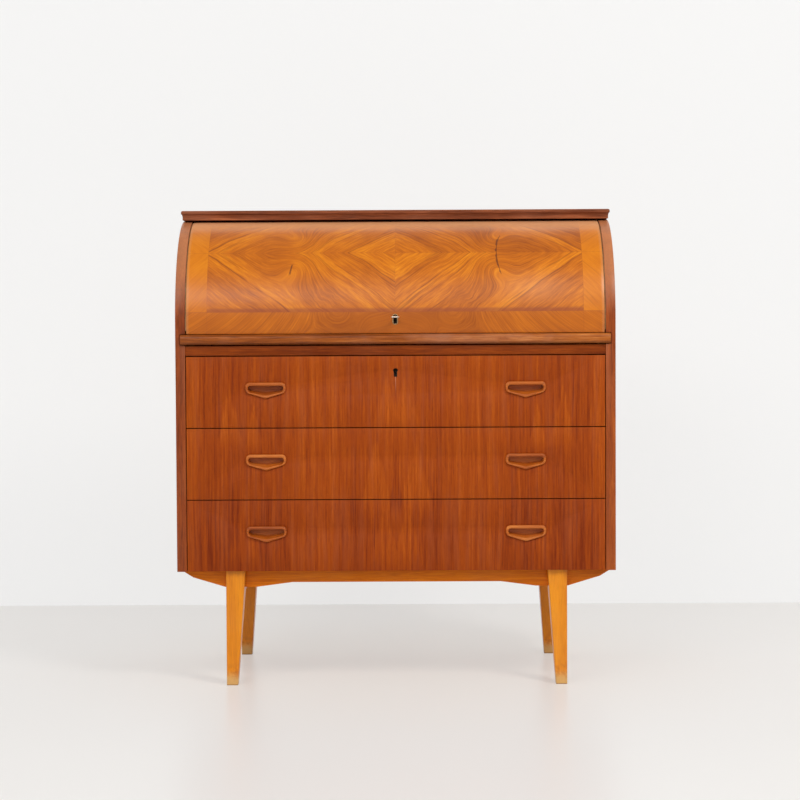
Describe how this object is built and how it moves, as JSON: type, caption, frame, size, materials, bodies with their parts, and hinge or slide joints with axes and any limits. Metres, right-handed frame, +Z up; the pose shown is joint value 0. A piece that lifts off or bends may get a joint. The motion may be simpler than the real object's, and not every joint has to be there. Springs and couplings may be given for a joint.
{
  "type": "roll top secretary desk",
  "caption": "Compact writing desk: a rigid quarter-cylinder front rolls up over a fitted insert, above a pull-out writing slide and wide drawers, on a low tapered-leg base.",
  "frame": {"origin": "on the floor, midway between the side panels, and midway between the key's tip and the back edges", "axes": "+Z up, +X to the right seen from the front, +Y to the back, so the drawers pull out along -Y"},
  "size_m": [0.907, 0.484, 0.983],
  "materials": {
    "teak": "satin oil finish over teak, fine dark pores",
    "case_board": "veneered board",
    "back_board": "veneered plywood",
    "lining_wood": "plain pale wood, bare",
    "base_beech": "beech in a golden lacquer",
    "screw_steel": "zinc plated steel",
    "lock_steel": "plain steel",
    "cylinder_veneer": "book-matched teak veneer, satin lacquer",
    "guide_beech": "waxed beech",
    "brass": "aged brass",
    "key_nickel": "worn nickel plate",
    "drawer_veneer": "teak veneer with upright grain, satin",
    "pull_teak": "carved solid teak, satin",
    "insert_wood": "teak veneered boards, satin"
  },
  "bodies": {
    "case": {"side_panel_left": "teak", "side_panel_right": "teak", "top_board": "teak", "case_bottom": "case_board", "back_panel": "back_board", "front_rail": "teak", "runners": "lining_wood", "leg_front_left": "base_beech", "leg_rear_left": "base_beech", "base_rail_left": "base_beech", "leg_front_right": "base_beech", "leg_rear_right": "base_beech", "base_rail_right": "base_beech", "apron_front": "base_beech", "apron_rear": "base_beech", "base_screws": "screw_steel", "insert_floor": "insert_wood", "insert_ends": "insert_wood", "insert_divider_left": "insert_wood", "insert_divider_right": "insert_wood", "insert_top": "insert_wood", "insert_shelf": "insert_wood", "insert_partitions": "insert_wood", "insert_back": "insert_wood", "insert_bearers": "insert_wood"},
    "cylinder": {"cylinder_shell": "cylinder_veneer", "cylinder_guides": "guide_beech", "cylinder_lock": "lock_steel", "cylinder_escutcheon": "brass"},
    "cylinder_bolt": {"cylinder_bolt": "lock_steel"},
    "key": {"key": "key_nickel"},
    "writing_slide": {"writing_slide": "teak", "slide_lip": "teak", "slide_stop": "lining_wood", "slide_strike": "lock_steel"},
    "drawer_bolt": {"drawer_bolt": "lock_steel"},
    "drawer_1": {"drawer_1_front": "drawer_veneer", "drawer_1_side_left": "lining_wood", "drawer_1_side_right": "lining_wood", "drawer_1_back": "lining_wood", "drawer_1_bottom": "lining_wood", "drawer_1_pulls": "pull_teak", "drawer_lock": "lock_steel"},
    "drawer_2": {"drawer_2_front": "drawer_veneer", "drawer_2_side_left": "lining_wood", "drawer_2_side_right": "lining_wood", "drawer_2_back": "lining_wood", "drawer_2_bottom": "lining_wood", "drawer_2_pulls": "pull_teak"},
    "drawer_3": {"drawer_3_front": "drawer_veneer", "drawer_3_side_left": "lining_wood", "drawer_3_side_right": "lining_wood", "drawer_3_back": "lining_wood", "drawer_3_bottom": "lining_wood", "drawer_3_pulls": "pull_teak"},
    "small_drawer_left_lower": {"small_drawer_left_lower": "insert_wood"},
    "small_drawer_left_upper": {"small_drawer_left_upper": "insert_wood"},
    "small_drawer_right_lower": {"small_drawer_right_lower": "insert_wood"},
    "small_drawer_right_upper": {"small_drawer_right_upper": "insert_wood"}
  },
  "joints": [
    {"name": "cylinder_roll", "type": "hinge", "parent": "case", "child": "cylinder", "pos_m": [0, -0.0005, 0.7455], "axis": [-1, 0, 0], "range_deg": [0, 70]},
    {"name": "key_turn", "type": "hinge", "parent": "cylinder", "child": "key", "pos_m": [0, -0.217, 0.7575], "axis": [0, 1, 0], "range_deg": [0, 90]},
    {"name": "cylinder_bolt_throw", "type": "slide", "parent": "cylinder", "child": "cylinder_bolt", "axis": [0, 0, -1], "range_m": [0, 0.008]},
    {"name": "writing_slide_pull", "type": "slide", "parent": "case", "child": "writing_slide", "axis": [0, -1, 0], "range_m": [0, 0.25]},
    {"name": "drawer_bolt_throw", "type": "slide", "parent": "drawer_1", "child": "drawer_bolt", "axis": [0, 0, 1], "range_m": [0, 0.008]},
    {"name": "drawer_1_pull_out", "type": "slide", "parent": "case", "child": "drawer_1", "axis": [0, -1, 0], "range_m": [0, 0.3]},
    {"name": "drawer_2_pull_out", "type": "slide", "parent": "case", "child": "drawer_2", "axis": [0, -1, 0], "range_m": [0, 0.3]},
    {"name": "drawer_3_pull_out", "type": "slide", "parent": "case", "child": "drawer_3", "axis": [0, -1, 0], "range_m": [0, 0.3]},
    {"name": "small_drawer_left_lower_pull_out", "type": "slide", "parent": "case", "child": "small_drawer_left_lower", "axis": [0, -1, 0], "range_m": [0, 0.12]},
    {"name": "small_drawer_left_upper_pull_out", "type": "slide", "parent": "case", "child": "small_drawer_left_upper", "axis": [0, -1, 0], "range_m": [0, 0.12]},
    {"name": "small_drawer_right_lower_pull_out", "type": "slide", "parent": "case", "child": "small_drawer_right_lower", "axis": [0, -1, 0], "range_m": [0, 0.12]},
    {"name": "small_drawer_right_upper_pull_out", "type": "slide", "parent": "case", "child": "small_drawer_right_upper", "axis": [0, -1, 0], "range_m": [0, 0.12]}
  ],
  "couplings": [
    {"joint": "key_turn", "follows": "cylinder_bolt_throw", "rad_per_m": 196.3}
  ]
}
